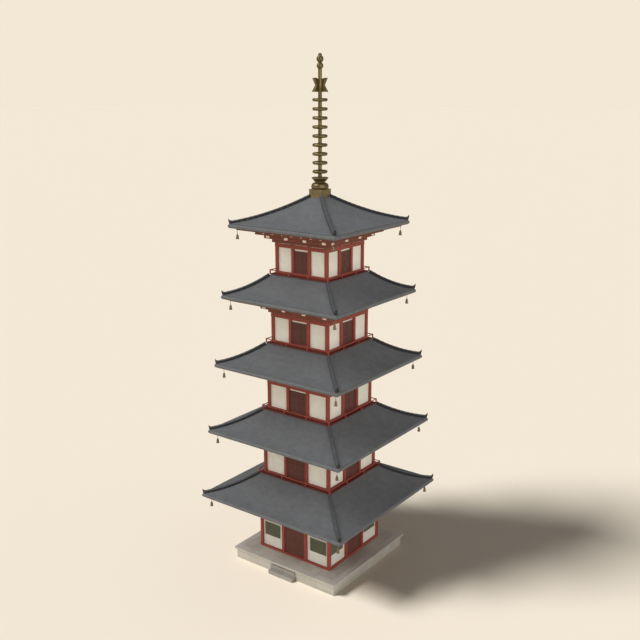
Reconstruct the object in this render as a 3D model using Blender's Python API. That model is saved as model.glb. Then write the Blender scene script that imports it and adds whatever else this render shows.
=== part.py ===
"""Five storey pagoda on a stone podium, in metres. The tower's axis is x = y = 0 and +Z is up.
The steps and one pair of opening doors are on the front (-Y), and the podium stands on z = 0.
Each storey is modelled at the ground storey's height under an empty that lifts it."""

import math

import bmesh
import bpy
from mathutils import Matrix, Vector

GAP = 0.0003

# Podium and its steps
PODIUM_HALF = 3.88
PODIUM_HEIGHT = 0.66
CAP_HALF = 4.0
CAP_TOP = 0.78
STEPS_HALF = 0.94
STEP_DEPTHS = (0.37, 0.10)
STEP_RISE = 0.26

# What repeats from storey to storey
STOREYS = 5
PITCH = 4.315
COLUMN_HALF = 0.10
COLUMN_LINE = 2.678
COLUMN_LINE_STEP = 0.211
GROUND_SILL_TOP = 0.91
FLOOR = 1.645
SILL_HEIGHT = 0.13
DOOR_HEAD = 3.15
HEAD_BOTTOM = 3.28
HEAD_TOP = 3.50
HEAD_HALF = 0.105
RIB_HALF = 0.03
RIB_TOP = 3.55
COLUMN_TOP = 3.56

# Plaster walls: their outer and inner faces, measured from the column line
WALL_OUT = -0.02
WALL_IN = -0.15
WINDOW_FROM = 1.20
WINDOW_TO = 2.445
WINDOW_BOTTOM = 1.645
WINDOW_TOP = 2.59

# Door leaves
LEAF_THICK = 0.05
LEAF_CLEAR = 0.008
JAMB_CLEAR = 0.018
PIVOT_INSET = 0.05
PIVOT_RADIUS = 0.014
FIXED_DOOR_THICK = 0.06
LINTEL_THICK = 0.10

# Balconies of the upper storeys
DECK_THICK = 0.04
DECK_EDGE = 0.03
RAIL_LINE = 2.781
RAIL_LINE_STEP = 0.209
RAIL_HEIGHT = 0.25
RAIL_THICK = 0.05
CORNER_POST_HALF = 0.035
BALUSTER_HALF = 0.03

# Roofs from the lowest up; each rises by slope times run plus curve times run squared
EAVE_HALF = 5.395
EAVE_HALF_STEP = 0.371
EAVE_BOTTOM = 4.45
EAVE_TOP = 4.72
ROOF_RISE = ((0.14, 0.119), (0.19, 0.115), (0.19, 0.137), (0.177, 0.172), (0.192, 0.070))
ROOF_INNER = 0.25
TOP_ROOF_INNER = 0.30
SHELL_TOP = 0.16
SHELL = 0.19
FLAT_BEARING = 0.80
TOP_STEPS = 8
UNDER_STEPS = 5
RIDGE_WIDTH = 0.20
RIDGE_HEIGHT = 0.16
RIDGE_SUNK = 0.08
RIDGE_STEPS = 8
SOFFIT_BOTTOM = 4.34
SOFFIT_INSET = 0.35
TIMBER_INNER = 0.10

# Bracket tiers: how far each stands out from the column line, and where it ends
BRACKET_TIERS = ((0.226, 3.805), (0.562, 4.05), (0.94, SOFFIT_BOTTOM - GAP))
BEAM_END_LINE = 0.236
BEAM_END_OUT = 0.62
BEAM_END_DEPTH = 0.12
BEAM_END_HALF = 0.125
BEAM_END_LOW = 3.845
BEAM_END_HIGH = 4.035

# Wind bells
BELL_LINE = 4.976
BELL_LINE_STEP = 0.365
BELL_BOTTOM = 3.79
BELL_HEIGHT = 0.31
BELL_RADIUS = 0.10
BELL_SIDES = 10
ROD_RADIUS = 0.013

# Spire, in heights above the ground
SPIRE_SIDES = 20
JEWEL_SIDES = 14
MAST_SIDES = 14
BASE_HALF = 0.472
BASE_TOP = 23.95
NECK_RADIUS = 0.30
DISH_RADIUS = 0.50
DISH_TOP = 24.61
MAST_RADIUS = 0.115
MAST_TOP = 30.83
RING_COUNT = 9
RING_FIRST = 24.966
RING_PITCH = 0.516
RING_RADIUS = 0.36
RING_TUBE = 0.095
RING_SIDES = 16
SPOKE_HALF = 0.02
FIN_OUTLINE = (
    (0.10, 29.54), (0.585, 29.54), (0.345, 29.92), (0.55, 30.33), (0.33, 30.32), (0.10, 30.22),
)
FIN_THICK = 0.05
SLEEVE = 0.02
BALL_RADIUS = 0.197
BALL_FOOT = 56
JEWEL_CENTRE = 31.37
JEWEL_RADII = (0.207, 0.21)
NIB = ((0.112, 31.565), (0.10, 31.665), (0.045, 31.70))

STONE = ("stone", (0.55, 0.50, 0.41), 0.85, 0.0)
TIMBER = ("red_timber", (0.24, 0.060, 0.042), 0.60, 0.0)
DOOR = ("door_timber", (0.095, 0.035, 0.028), 0.65, 0.0)
PLASTER = ("plaster", (0.62, 0.57, 0.46), 0.85, 0.0)
TILE = ("roof_tile", (0.135, 0.138, 0.142), 0.70, 0.0)
BRONZE = ("bronze", (0.22, 0.165, 0.075), 0.45, 0.9)


def clear_scene():
    for obj in list(bpy.data.objects):
        bpy.data.objects.remove(obj, do_unlink=True)


def material(spec):
    name, colour, roughness, metallic = spec
    found = bpy.data.materials.get(name)
    if found:
        return found
    made = bpy.data.materials.new(name)
    made.use_nodes = True
    shader = made.node_tree.nodes["Principled BSDF"]
    shader.inputs["Base Color"].default_value = (*colour, 1.0)
    shader.inputs["Roughness"].default_value = roughness
    shader.inputs["Metallic"].default_value = metallic
    return made


def storey_place(storey):
    """The empty that lifts one storey's pieces to their height."""
    place = bpy.data.objects.new("storey_%d_place" % storey, None)
    place.location.z = PITCH * (storey - 1)
    bpy.context.scene.collection.objects.link(place)
    return place


def piece(name, bm, spec, place, smooth=False):
    """One named object from a finished mesh."""
    bmesh.ops.recalc_face_normals(bm, faces=bm.faces)
    mesh = bpy.data.meshes.new(name)
    bm.to_mesh(mesh)
    bm.free()
    mesh.materials.append(material(spec))
    if smooth:
        mesh.shade_smooth()
        mesh.set_sharp_from_angle(angle=math.radians(35))
    obj = bpy.data.objects.new(name, mesh)
    obj.parent = place
    bpy.context.scene.collection.objects.link(obj)
    return obj


def boolean(obj, tool, operation):
    """Joins or cuts with a helper object, which stays in the file as a hidden guide."""
    step = obj.modifiers.new(tool.name, "BOOLEAN")
    step.operation = operation
    step.solver = "EXACT"
    step.object = tool
    tool.hide_render = True
    tool.display_type = "WIRE"


def add_box(bm, low, high):
    verts = bmesh.ops.create_cube(bm, size=1.0)["verts"]
    bmesh.ops.scale(bm, vec=[b - a for a, b in zip(low, high)], verts=verts)
    bmesh.ops.translate(bm, vec=[(a + b) / 2 for a, b in zip(low, high)], verts=verts)


def add_rod(bm, low, high, radius, sides):
    made = bmesh.ops.create_cone(
        bm, cap_ends=True, segments=sides, radius1=radius, radius2=radius, depth=high - low
    )
    bmesh.ops.translate(bm, vec=(0, 0, (low + high) / 2), verts=made["verts"])


def add_turned(bm, outline, sides, centre=(0.0, 0.0), closed=False, first=0.0):
    """A (radius, height) outline carried round a vertical axis; an open one gets flat ends."""
    start = Vector((math.cos(first), math.sin(first), 0))
    spot = Vector((*centre, 0))
    verts = [bm.verts.new(spot + start * r + Vector((0, 0, z))) for r, z in outline]
    pairs = list(zip(verts, verts[1:]))
    if closed:
        pairs.append((verts[-1], verts[0]))
    edges = [bm.edges.new(pair) for pair in pairs]
    bmesh.ops.spin(
        bm, geom=verts + edges, cent=spot, axis=(0, 0, 1), angle=2 * math.pi, steps=sides, use_merge=True
    )
    if not closed:
        bmesh.ops.holes_fill(bm, edges=[e for e in bm.edges if e.is_boundary], sides=sides)


def add_square_ring(bm, outline):
    """A closed (half width, height) outline carried round the four sides of the tower."""
    corners = [(half * math.sqrt(2), z) for half, z in outline]
    add_turned(bm, corners, 4, closed=True, first=math.pi / 4)


def add_prism(bm, outline, depth):
    """A flat outline of points extruded along one vector."""
    face = bm.faces.new([bm.verts.new(point) for point in outline])
    made = bmesh.ops.extrude_face_region(bm, geom=[face])["geom"]
    moved = [item for item in made if isinstance(item, bmesh.types.BMVert)]
    bmesh.ops.translate(bm, vec=depth, verts=moved)


def on_sides(bm, add, quarters=range(4)):
    """The same shape on several sides of the tower, each a quarter turn from the last."""
    for quarter in quarters:
        before = set(bm.verts)
        add(bm)
        made = [vert for vert in bm.verts if vert not in before]
        turn = Matrix.Rotation(math.pi / 2 * quarter, 3, "Z")
        bmesh.ops.rotate(bm, cent=(0, 0, 0), matrix=turn, verts=made)


def arc(centre, radii, start, stop, steps):
    """Points along part of an upright ellipse, between two angles in degrees."""
    made = []
    for i in range(steps + 1):
        angle = math.radians(start + (stop - start) * i / steps)
        made.append((centre[0] + radii[0] * math.cos(angle), centre[1] + radii[1] * math.sin(angle)))
    return made


def column_line(storey):
    return COLUMN_LINE - COLUMN_LINE_STEP * (storey - 1)


def inner_line(storey):
    """The inner columns stand at the thirds of each side."""
    return column_line(storey) / 3


def rail_line(storey):
    return RAIL_LINE - RAIL_LINE_STEP * (storey - 2)


def eave_half(storey):
    return EAVE_HALF - EAVE_HALF_STEP * (storey - 1)


def add_columns(bm, storey, low, high, half):
    """The twelve square columns, four to a side."""
    line, inner = column_line(storey), inner_line(storey)
    rows = (-line, -inner, inner, line)
    for x in rows:
        for y in rows:
            if line in (abs(x), abs(y)):
                add_box(bm, (x - half, y - half, low), (x + half, y + half, high))


def podium():
    base = bmesh.new()
    add_box(base, (-PODIUM_HALF, -PODIUM_HALF, 0), (PODIUM_HALF, PODIUM_HALF, PODIUM_HEIGHT))
    piece("podium_base", base, STONE, None)
    paving = bmesh.new()
    add_box(paving, (-CAP_HALF, -CAP_HALF, PODIUM_HEIGHT + GAP), (CAP_HALF, CAP_HALF, CAP_TOP))
    piece("podium_paving", paving, STONE, None)


def front_steps():
    back = -PODIUM_HALF - GAP
    first, second = (-PODIUM_HALF - depth for depth in STEP_DEPTHS)
    outline = (
        (back, 0), (first, 0), (first, STEP_RISE), (second, STEP_RISE),
        (second, 2 * STEP_RISE), (back, 2 * STEP_RISE),
    )
    bm = bmesh.new()
    add_prism(bm, [(-STEPS_HALF, y, z) for y, z in outline], (2 * STEPS_HALF, 0, 0))
    piece("front_steps", bm, STONE, None)


def add_beam_ring(bm, storey, low, high, half):
    line = column_line(storey)
    add_square_ring(bm, [(line - half, low), (line + half, low), (line + half, high), (line - half, high)])


def ground_sill():
    bm = bmesh.new()
    add_beam_ring(bm, 1, CAP_TOP + GAP, GROUND_SILL_TOP, HEAD_HALF)
    piece("ground_sill", bm, TIMBER, None)


def head_beams(name, storey, place):
    """The ring of beams on the column heads, with the narrow rib that the brackets rest by."""
    line = column_line(storey)
    outline = (
        (line - HEAD_HALF, HEAD_BOTTOM), (line + HEAD_HALF, HEAD_BOTTOM), (line + HEAD_HALF, HEAD_TOP),
        (line + RIB_HALF, HEAD_TOP), (line + RIB_HALF, RIB_TOP), (line - RIB_HALF, RIB_TOP),
        (line - RIB_HALF, HEAD_TOP), (line - HEAD_HALF, HEAD_TOP),
    )
    bm = bmesh.new()
    add_square_ring(bm, outline)
    return piece(name, bm, TIMBER, place)


def frame(storey, place, name, foot, fixed_sides):
    """Columns under the head beams, with the doors that are fixed between them."""
    line, inner = column_line(storey), inner_line(storey)
    ring = head_beams(name, storey, place)
    posts = bmesh.new()
    add_columns(posts, storey, foot, COLUMN_TOP, COLUMN_HALF)
    boolean(ring, piece(name + "_columns", posts, TIMBER, place), "UNION")

    def door(bm):
        half = FIXED_DOOR_THICK / 2
        add_box(bm, (-inner, -line - half, foot + 0.01), (inner, -line + half, DOOR_HEAD))

    doors = bmesh.new()
    on_sides(doors, door, fixed_sides)
    boolean(ring, piece(name + "_doors", doors, TIMBER, place), "UNION")
    return ring


def ground_frame():
    """The ground storey's frame: two sides have opening doors, under a lintel, and two fixed ones."""
    line, inner = column_line(1), inner_line(1)
    ring = frame(1, None, "ground_frame", GROUND_SILL_TOP + GAP, (2, 3))

    def lintel(bm):
        half = LINTEL_THICK / 2
        add_box(bm, (-inner, -line - half, DOOR_HEAD), (inner, -line + half, HEAD_BOTTOM + HEAD_HALF))

    lintels = bmesh.new()
    on_sides(lintels, lintel)
    boolean(ring, piece("ground_lintels", lintels, TIMBER, None), "UNION")


def upper_frame(storey, place):
    name = "storey_%d_frame" % storey
    ring = frame(storey, place, name, FLOOR + GAP, range(4))
    sill = bmesh.new()
    add_beam_ring(sill, storey, FLOOR + GAP, FLOOR + SILL_HEIGHT, HEAD_HALF)
    boolean(ring, piece(name + "_sill", sill, TIMBER, place), "UNION")


def groove_cutter(storey, place, low, high):
    """The columns again, a little wider, to cut their seats in the plaster."""
    bm = bmesh.new()
    add_columns(bm, storey, low - 1, high + 1, COLUMN_HALF + 2 * GAP)
    return piece("storey_%d_grooves" % storey, bm, PLASTER, place)


def window_cutter():
    """The eight window openings of the ground storey."""
    bm = bmesh.new()
    line = column_line(1)

    def pair(bm):
        for near, far in ((-WINDOW_TO, -WINDOW_FROM), (WINDOW_FROM, WINDOW_TO)):
            add_box(bm, (near, -line - 0.3, WINDOW_BOTTOM), (far, -line + 0.3, WINDOW_TOP))

    on_sides(bm, pair)
    return piece("ground_windows", bm, PLASTER, None)


def ground_walls():
    """Four corner pieces of plaster wall, each with a window on both its sides."""
    line, inner = column_line(1), inner_line(1)
    low, high = GROUND_SILL_TOP + GAP, HEAD_BOTTOM - GAP
    outer, inside = line + WALL_OUT, line + WALL_IN
    outline = (
        (inner, -outer), (outer, -outer), (outer, -inner),
        (inside, -inner), (inside, -inside), (inner, -inside),
    )
    windows = window_cutter()
    grooves = groove_cutter(1, None, low, high)
    for quarter, corner in enumerate(("front_right", "back_right", "back_left", "front_left")):
        bm = bmesh.new()
        add_prism(bm, [(x, y, low) for x, y in outline], (0, 0, high - low))
        wall = piece("ground_wall_" + corner, bm, PLASTER, None)
        wall.rotation_euler.z = math.pi / 2 * quarter
        boolean(wall, windows, "DIFFERENCE")
        boolean(wall, grooves, "DIFFERENCE")


def door_leaf(name, hand, quarter):
    """One opening leaf with its pivot, hung on the left column (-1) or the right one (+1) of its
    pair. Its origin is on the pivot's axis at the sill."""
    jamb = inner_line(1) - COLUMN_HALF
    pivot = jamb - PIVOT_INSET
    height = DOOR_HEAD - GROUND_SILL_TOP
    meeting = hand * (LEAF_CLEAR / 2 - pivot)
    hanging = hand * (PIVOT_INSET - JAMB_CLEAR)
    bm = bmesh.new()
    add_box(
        bm, (min(meeting, hanging), -LEAF_THICK / 2, LEAF_CLEAR),
        (max(meeting, hanging), LEAF_THICK / 2, height - LEAF_CLEAR),
    )
    place = bpy.data.objects.new(name + "_pivot", None)
    place.rotation_euler.z = math.pi / 2 * quarter
    spot = Vector((hand * pivot, -column_line(1), GROUND_SILL_TOP))
    place.location = Matrix.Rotation(math.pi / 2 * quarter, 3, "Z") @ spot
    bpy.context.scene.collection.objects.link(place)
    leaf = piece(name, bm, DOOR, place)
    pin = bmesh.new()
    add_rod(pin, GAP, height - GAP, PIVOT_RADIUS, 12)
    boolean(leaf, piece(name + "_pin", pin, DOOR, place, smooth=True), "UNION")


def storey_walls(storey, place):
    """The plaster ring of an upper storey, open at its four doors."""
    line, inner = column_line(storey), inner_line(storey)
    low = FLOOR + SILL_HEIGHT + GAP
    high = HEAD_BOTTOM - GAP
    outer, inside = line + WALL_OUT, line + WALL_IN
    bm = bmesh.new()
    add_square_ring(bm, [(inside, low), (outer, low), (outer, high), (inside, high)])
    ring = piece("storey_%d_walls" % storey, bm, PLASTER, place)
    boolean(ring, groove_cutter(storey, place, low, high), "DIFFERENCE")

    def doorway(bm):
        add_box(bm, (-inner, -line - 0.3, low - 0.5), (inner, -line + 0.3, DOOR_HEAD + GAP))

    doorways = bmesh.new()
    on_sides(doorways, doorway)
    boolean(ring, piece("storey_%d_doorways" % storey, doorways, PLASTER, place), "DIFFERENCE")


def balcony(storey, place):
    """Floor boards with the low railing round their edge, as one body."""
    name = "storey_%d_balcony" % storey
    line = rail_line(storey)
    half = line + DECK_EDGE
    deck = bmesh.new()
    add_box(deck, (-half, -half, FLOOR - DECK_THICK), (half, half, FLOOR))
    deck = piece(name, deck, TIMBER, place)
    t = RAIL_THICK / 2
    low, high = FLOOR + RAIL_HEIGHT - RAIL_THICK, FLOOR + RAIL_HEIGHT
    rail = bmesh.new()
    add_square_ring(rail, [(line - t, low), (line + t, low), (line + t, high), (line - t, high)])

    def side_posts(bm):
        for third, w in ((-3, CORNER_POST_HALF), (-1, BALUSTER_HALF), (1, BALUSTER_HALF)):
            x = line * third / 3
            add_box(bm, (x - w, -line - w, FLOOR - 0.04), (x + w, -line + w, high + 0.01))

    posts = bmesh.new()
    on_sides(posts, side_posts)
    boolean(deck, piece(name + "_posts", posts, TIMBER, place), "UNION")
    boolean(deck, piece(name + "_rail", rail, TIMBER, place), "UNION")


def roof_height(storey, half):
    """Height of the tiles at a half width."""
    run = eave_half(storey) - half
    slope, curve = ROOF_RISE[storey - 1]
    return EAVE_TOP + slope * run + curve * run * run


def roof_half(storey, height):
    """The half width at which the tiles reach a height."""
    slope, curve = ROOF_RISE[storey - 1]
    run = (math.sqrt(slope * slope + 4 * curve * (height - EAVE_TOP)) - slope) / (2 * curve)
    return eave_half(storey) - run


def roof_crest(storey):
    """The flat top of the tiles, under the next balcony or under the spire."""
    if storey == STOREYS:
        return roof_height(storey, BASE_HALF + 0.02)
    return FLOOR + PITCH - DECK_THICK - GAP


def roof_outline(storey):
    """The shell's section: a hollow under side, a round nose and the curved top."""
    outer = eave_half(storey)
    crest = roof_crest(storey)
    stop = roof_half(storey, crest)
    inner = TOP_ROOF_INNER if storey == STOREYS else rail_line(storey + 1) - ROOF_INNER
    bend = outer - FLAT_BEARING
    points = [(inner, crest - SHELL_TOP)]
    for i in range(1, UNDER_STEPS):
        half = stop + (bend - stop) * i / UNDER_STEPS
        points.append((half, min(roof_height(storey, half) - SHELL, crest - SHELL_TOP)))
    points.append((bend, EAVE_BOTTOM))
    nose = (EAVE_TOP - EAVE_BOTTOM) / 2
    points += arc((outer - nose, EAVE_BOTTOM + nose), (nose, nose), -90, 60, 5)
    for i in range(1, TOP_STEPS + 1):
        half = outer - nose + (stop - outer + nose) * i / TOP_STEPS
        points.append((half, roof_height(storey, half)))
    points.append((inner, crest))
    return points


def add_hip_ridge(bm, storey):
    """A bar along the front right hip, turned up at its outer end."""
    outer = eave_half(storey)
    inner = BASE_HALF + 0.005
    if storey < STOREYS:
        inner = rail_line(storey + 1) + CORNER_POST_HALF + 0.01
    halves = [inner + (outer - 0.08 - inner) * i / RIDGE_STEPS for i in range(RIDGE_STEPS + 1)]
    eave = roof_height(storey, outer)
    under = [(half, roof_height(storey, half) - RIDGE_SUNK) for half in halves]
    under += [(outer - 0.03, eave + 0.02), (outer - 0.01, eave + 0.24)]
    over = [(half, roof_height(storey, half) + RIDGE_HEIGHT) for half in halves]
    over += [(outer - 0.065, eave + 0.25), (outer - 0.05, eave + 0.31)]
    across = Vector((1, 1, 0)).normalized() * RIDGE_WIDTH
    add_prism(bm, [Vector((h, -h, z)) - across / 2 for h, z in under + over[::-1]], across)


def roof_tiles(storey, place):
    """The tiled shell with its four hip ridges."""
    name = "roof_%d_tiles" % storey
    bm = bmesh.new()
    add_square_ring(bm, roof_outline(storey))
    shell = piece(name, bm, TILE, place, smooth=True)
    ridges = bmesh.new()
    on_sides(ridges, lambda part: add_hip_ridge(part, storey))
    boolean(shell, piece(name + "_ridges", ridges, TILE, place), "UNION")


def brackets(storey, place):
    """Stepped bracket tiers that carry the eaves out from the head beams, with four beam ends
    showing on each side."""
    name = "roof_%d_brackets" % storey
    line = column_line(storey)
    foot = COLUMN_TOP + GAP
    outline = [(line - TIMBER_INNER, foot)]
    for reach, top in BRACKET_TIERS:
        outline += [(line + reach, foot), (line + reach, top)]
        foot = top
    outline.append((line - TIMBER_INNER, foot))
    bm = bmesh.new()
    add_square_ring(bm, outline)
    ring = piece(name, bm, TIMBER, place)
    front = -line - BEAM_END_OUT

    def beam_ends(bm):
        for third in (-3, -1, 1, 3):
            x = (line + BEAM_END_LINE) * third / 3
            low = (x - BEAM_END_HALF, front, BEAM_END_LOW)
            add_box(bm, low, (x + BEAM_END_HALF, front + BEAM_END_DEPTH, BEAM_END_HIGH))

    ends = bmesh.new()
    on_sides(ends, beam_ends)
    boolean(ring, piece(name + "_ends", ends, TIMBER, place), "UNION")


def eaves(storey, place):
    """The boarded eaves with a wind bell on a rod under each corner."""
    name = "roof_%d_eaves" % storey
    inner = column_line(storey) - TIMBER_INNER
    outer = eave_half(storey) - SOFFIT_INSET
    low, high = SOFFIT_BOTTOM, EAVE_BOTTOM - GAP
    bm = bmesh.new()
    add_square_ring(bm, [(inner, low), (outer, low), (outer, high), (inner, high)])
    ring = piece(name, bm, TIMBER, place)
    spot = BELL_LINE - BELL_LINE_STEP * (storey - 1)
    crown = BELL_BOTTOM + BELL_HEIGHT
    outline = (
        (BELL_RADIUS, BELL_BOTTOM), (BELL_RADIUS * 0.80, BELL_BOTTOM + 0.10),
        (BELL_RADIUS * 0.62, crown - 0.06), (BELL_RADIUS * 0.30, crown),
        (ROD_RADIUS, crown + 0.01), (ROD_RADIUS, low + 0.03),
    )
    bells = bmesh.new()
    for x, y in ((-spot, -spot), (spot, -spot), (spot, spot), (-spot, spot)):
        add_turned(bells, outline, BELL_SIDES, (x, y))
    boolean(ring, piece(name + "_bells", bells, BRONZE, place, smooth=True), "UNION")


def spire_base():
    low = PITCH * (STOREYS - 1) + roof_crest(STOREYS) + GAP
    bm = bmesh.new()
    add_box(bm, (-BASE_HALF, -BASE_HALF, low), (BASE_HALF, BASE_HALF, BASE_TOP))
    piece("spire_base", bm, BRONZE, None)


def spire_bowls():
    """An upturned bowl with a flared dish on it."""
    foot = BASE_TOP + GAP
    outline = [(0.46, foot)]
    outline += arc((0.30, foot + 0.14), (0.225, 0.235), -30, 75, 6)
    outline += [(NECK_RADIUS, foot + 0.395), (NECK_RADIUS, foot + 0.43)]
    outline += [(DISH_RADIUS - 0.03, DISH_TOP - 0.05), (DISH_RADIUS, DISH_TOP)]
    outline += [(DISH_RADIUS - 0.015, DISH_TOP + 0.025), (DISH_RADIUS - 0.09, DISH_TOP)]
    bm = bmesh.new()
    add_turned(bm, outline, SPIRE_SIDES)
    piece("spire_bowls", bm, BRONZE, None, smooth=True)


def spire_mast():
    """The mast with its nine rings, each on a cross of spokes."""
    bm = bmesh.new()
    add_rod(bm, DISH_TOP + GAP, MAST_TOP, MAST_RADIUS, MAST_SIDES)
    mast = piece("spire_mast", bm, BRONZE, None, smooth=True)
    heights = [RING_FIRST + RING_PITCH * i for i in range(RING_COUNT)]
    for name, x, y in (("spokes_x", RING_RADIUS, SPOKE_HALF), ("spokes_y", SPOKE_HALF, RING_RADIUS)):
        spokes = bmesh.new()
        for z in heights:
            add_box(spokes, (-x, -y, z - SPOKE_HALF), (x, y, z + SPOKE_HALF))
        boolean(mast, piece("spire_" + name, spokes, BRONZE, None), "UNION")
    rings = bmesh.new()
    for z in heights:
        section = arc((RING_RADIUS, z), (RING_TUBE, RING_TUBE), 0, 300, 5)
        add_turned(rings, section, RING_SIDES, closed=True)
    boolean(mast, piece("spire_rings", rings, BRONZE, None, smooth=True), "UNION")


def spire_fins():
    """Four flat fins held on the mast by a sleeve."""
    low, high = FIN_OUTLINE[0][1], FIN_OUTLINE[-1][1]
    bm = bmesh.new()
    add_rod(bm, low - 0.01, high + 0.01, MAST_RADIUS + SLEEVE, MAST_SIDES)
    sleeve = piece("spire_fins", bm, BRONZE, None, smooth=True)

    def fin(bm):
        add_prism(bm, [(r, -FIN_THICK / 2, z) for r, z in FIN_OUTLINE], (0, FIN_THICK, 0))

    fins = bmesh.new()
    on_sides(fins, fin)
    boolean(sleeve, piece("spire_fin_plates", fins, BRONZE, None), "UNION")
    bore = bmesh.new()
    add_rod(bore, low - 1, high + 1, MAST_RADIUS + GAP, MAST_SIDES)
    boolean(sleeve, piece("spire_fin_bore", bore, BRONZE, None), "DIFFERENCE")


def spire_jewels():
    """A ball under a pointed jewel, turned as one piece on the mast's top."""
    centre = MAST_TOP + GAP + BALL_RADIUS * math.sin(math.radians(BALL_FOOT))
    outline = arc((0, centre), (BALL_RADIUS, BALL_RADIUS), -BALL_FOOT, 60, 6)
    outline += arc((0, JEWEL_CENTRE), JEWEL_RADII, -62, 50, 6)
    outline += NIB
    bm = bmesh.new()
    add_turned(bm, outline, JEWEL_SIDES)
    piece("spire_jewels", bm, BRONZE, None, smooth=True)


def build():
    clear_scene()
    podium()
    front_steps()
    ground_sill()
    ground_frame()
    ground_walls()
    door_leaf("front_door_left", -1, 0)
    door_leaf("front_door_right", 1, 0)
    door_leaf("right_door_front", -1, 1)
    door_leaf("right_door_back", 1, 1)
    for storey in range(1, STOREYS + 1):
        place = storey_place(storey)
        if storey > 1:
            balcony(storey, place)
            upper_frame(storey, place)
            storey_walls(storey, place)
        brackets(storey, place)
        eaves(storey, place)
        roof_tiles(storey, place)
    spire_base()
    spire_bowls()
    spire_mast()
    spire_fins()
    spire_jewels()


build()
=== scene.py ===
"""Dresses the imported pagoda: each surface as a detailed piece or with a node material, a pale floor,
soft light and the camera at the photograph's angle. Metres, +Z up, the steps on the front (-Y)."""

import math
import random
from itertools import pairwise, product

import bmesh
import bpy
from mathutils import Matrix, Vector


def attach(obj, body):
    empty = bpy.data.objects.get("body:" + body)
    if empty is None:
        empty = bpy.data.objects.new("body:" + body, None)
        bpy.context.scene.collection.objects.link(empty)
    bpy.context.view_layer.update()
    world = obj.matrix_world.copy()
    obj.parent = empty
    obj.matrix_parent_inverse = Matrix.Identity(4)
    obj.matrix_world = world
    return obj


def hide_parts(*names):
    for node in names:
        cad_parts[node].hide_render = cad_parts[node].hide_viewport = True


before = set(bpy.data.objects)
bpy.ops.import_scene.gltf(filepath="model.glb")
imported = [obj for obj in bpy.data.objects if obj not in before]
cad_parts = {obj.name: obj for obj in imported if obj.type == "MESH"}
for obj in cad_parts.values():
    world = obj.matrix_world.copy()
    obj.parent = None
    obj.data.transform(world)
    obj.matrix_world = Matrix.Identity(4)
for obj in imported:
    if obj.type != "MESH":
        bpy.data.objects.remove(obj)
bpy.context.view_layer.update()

# The same named sizes as the part
GAP = 0.0003
PODIUM_HALF = 3.88
PODIUM_HEIGHT = 0.66
CAP_HALF = 4.0
CAP_TOP = 0.78
STEPS_HALF = 0.94
STEP_DEPTHS = (0.37, 0.10)
STEP_RISE = 0.26
STOREYS = 5
PITCH = 4.315
COLUMN_HALF = 0.10
COLUMN_LINE = 2.678
COLUMN_LINE_STEP = 0.211
GROUND_SILL_TOP = 0.91
FLOOR = 1.645
SILL_HEIGHT = 0.13
DOOR_HEAD = 3.15
HEAD_BOTTOM = 3.28
HEAD_TOP = 3.50
HEAD_HALF = 0.105
COLUMN_TOP = 3.56
WINDOW_FROM = 1.20
WINDOW_TO = 2.445
WINDOW_BOTTOM = 1.645
WINDOW_TOP = 2.59
LEAF_THICK = 0.05
LEAF_CLEAR = 0.008
JAMB_CLEAR = 0.018
PIVOT_INSET = 0.05
PIVOT_RADIUS = 0.014
FIXED_DOOR_THICK = 0.06
LINTEL_THICK = 0.10
DECK_THICK = 0.04
DECK_EDGE = 0.03
RAIL_LINE = 2.781
RAIL_LINE_STEP = 0.209
RAIL_HEIGHT = 0.25
RAIL_THICK = 0.05
CORNER_POST_HALF = 0.035
BALUSTER_HALF = 0.03
EAVE_HALF = 5.395
EAVE_HALF_STEP = 0.371
EAVE_BOTTOM = 4.45
EAVE_TOP = 4.72
ROOF_RISE = ((0.14, 0.119), (0.19, 0.115), (0.19, 0.137), (0.177, 0.172), (0.192, 0.070))
ROOF_INNER = 0.25
TOP_ROOF_INNER = 0.30
SHELL_TOP = 0.16
SHELL = 0.19
FLAT_BEARING = 0.80
SOFFIT_BOTTOM = 4.34
SOFFIT_INSET = 0.35
TIMBER_INNER = 0.10
BEAM_END_LINE = 0.236
BEAM_END_OUT = 0.62
BEAM_END_HALF = 0.125
BEAM_END_LOW = 3.845
BEAM_END_HIGH = 4.035
BELL_LINE = 4.976
BELL_LINE_STEP = 0.365
BELL_BOTTOM = 3.79
BELL_HEIGHT = 0.31
BELL_RADIUS = 0.10
BASE_HALF = 0.472
BASE_TOP = 23.95
NECK_RADIUS = 0.30
DISH_RADIUS = 0.50
DISH_TOP = 24.61
MAST_RADIUS = 0.115
MAST_TOP = 30.83
RING_COUNT = 9
RING_FIRST = 24.966
RING_PITCH = 0.516
RING_RADIUS = 0.36
RING_TUBE = 0.095
FIN_OUTLINE = (
    (0.10, 29.54), (0.585, 29.54), (0.345, 29.92), (0.55, 30.33), (0.33, 30.32), (0.10, 30.22),
)
SLEEVE = 0.02
BALL_RADIUS = 0.197
BALL_FOOT = 56
JEWEL_CENTRE = 31.37
JEWEL_RADII = (0.207, 0.21)

# Sizes of the finer work
STONE_JOINT = 0.006
STONE_DEPTH = 0.30
FOOT_COURSE = 0.175
FOOT_BLOCK = 1.22
UPPER_BLOCK = 0.93
EDGE_STONE = 1.15
PAVING_STONE = 0.59
CAP_EDGE = 0.46
STILE = 0.085
DOOR_RAIL = 0.11
DOOR_BOARD = 0.115
STUDS = 5
STUD_RADIUS = 0.014
BAR_PITCH = 0.084
BAR_HALF = 0.027
DECK_BOARD = 0.19
DECK_BOARD_THICK = 0.022
EDGE_BEAM_HALF = 0.0275
ARM_HALF = 0.23
ARM_HEIGHT = 0.11
BEARING_HALF = 0.055
FILLET_LOW = 4.055
FILLET_HIGH = 4.10
RAFTER_END_PITCH = 0.70
RAFTER_END_HALF = 0.056
RAFTER_END_LOW = 4.150
RAFTER_END_HIGH = 4.262
RAFTER_PITCH = 0.28
RAFTER_HALF = 0.045
TILE_WIDTH = 0.30
TILE_GAP = 0.0022
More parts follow.
